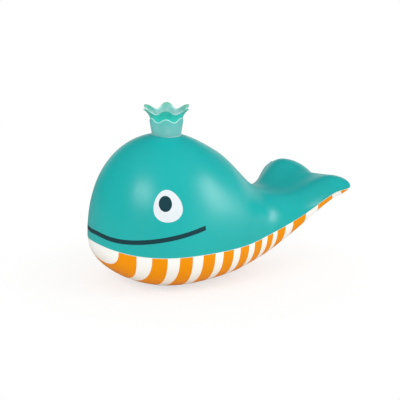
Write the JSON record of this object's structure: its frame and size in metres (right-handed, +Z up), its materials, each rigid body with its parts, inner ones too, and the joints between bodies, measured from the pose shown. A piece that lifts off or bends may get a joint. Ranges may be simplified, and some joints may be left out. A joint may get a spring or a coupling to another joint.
{
  "type": "bubble-blowing bath toy",
  "caption": "Squeezable whale bath toy with a soft teal back, a striped hull belly and a pull-out scalloped crown with valve and bubble plate.",
  "frame": {"origin": "middle of the bounding box in plan, on the plane of the flat foot", "axes": "+Z up, +X from the nose towards the tail, +Y towards the whale's right side, so the side that the picture shows faces -Y"},
  "size_m": [0.1702, 0.098, 0.1142],
  "materials": {
    "back_vinyl": "soft satin vinyl, with a printed eye and mouth",
    "belly_plastic": "satin, with printed orange stripes",
    "crown_plastic": "see-through, satin",
    "plate_plastic": "see-through",
    "inner_plastic": "as moulded",
    "cap_plastic": "as moulded",
    "seal_rubber": "soft silicone",
    "ballast_steel": "zinc plated"
  },
  "bodies": {
    "whale": {"upper_shell": "back_vinyl", "belly_shell": "belly_plastic", "neck_bush": "crown_plastic", "neck_washer": "seal_rubber", "neck_nut": "inner_plastic", "intake_bush": "inner_plastic", "intake_cage": "inner_plastic", "ballast_weight": "ballast_steel", "ballast_cap_front": "cap_plastic", "ballast_cap_rear": "cap_plastic"},
    "crown_seal": {"crown_o_ring": "seal_rubber"},
    "crown": {"crown": "crown_plastic", "bubble_plate": "plate_plastic", "outlet_seat": "inner_plastic"},
    "outlet_valve": {"outlet_disc": "seal_rubber"},
    "intake_valve": {"intake_disc": "seal_rubber"}
  },
  "joints": [
    {"name": "crown_lift", "type": "slide", "parent": "whale", "child": "crown_seal", "axis": [0, 0, 1], "range_m": [0, 0.03]},
    {"name": "crown_turn", "type": "hinge", "parent": "crown_seal", "child": "crown", "pos_m": [-0.035, 0, 0.0962], "axis": [0, 0, 1], "continuous": true},
    {"name": "outlet_valve_lift", "type": "slide", "parent": "crown", "child": "outlet_valve", "axis": [0, 0, 1], "range_m": [0, 0.0015]},
    {"name": "intake_valve_lift", "type": "slide", "parent": "whale", "child": "intake_valve", "axis": [-0.6746, 0, 0.7382], "range_m": [0, 0.0012]}
  ]
}
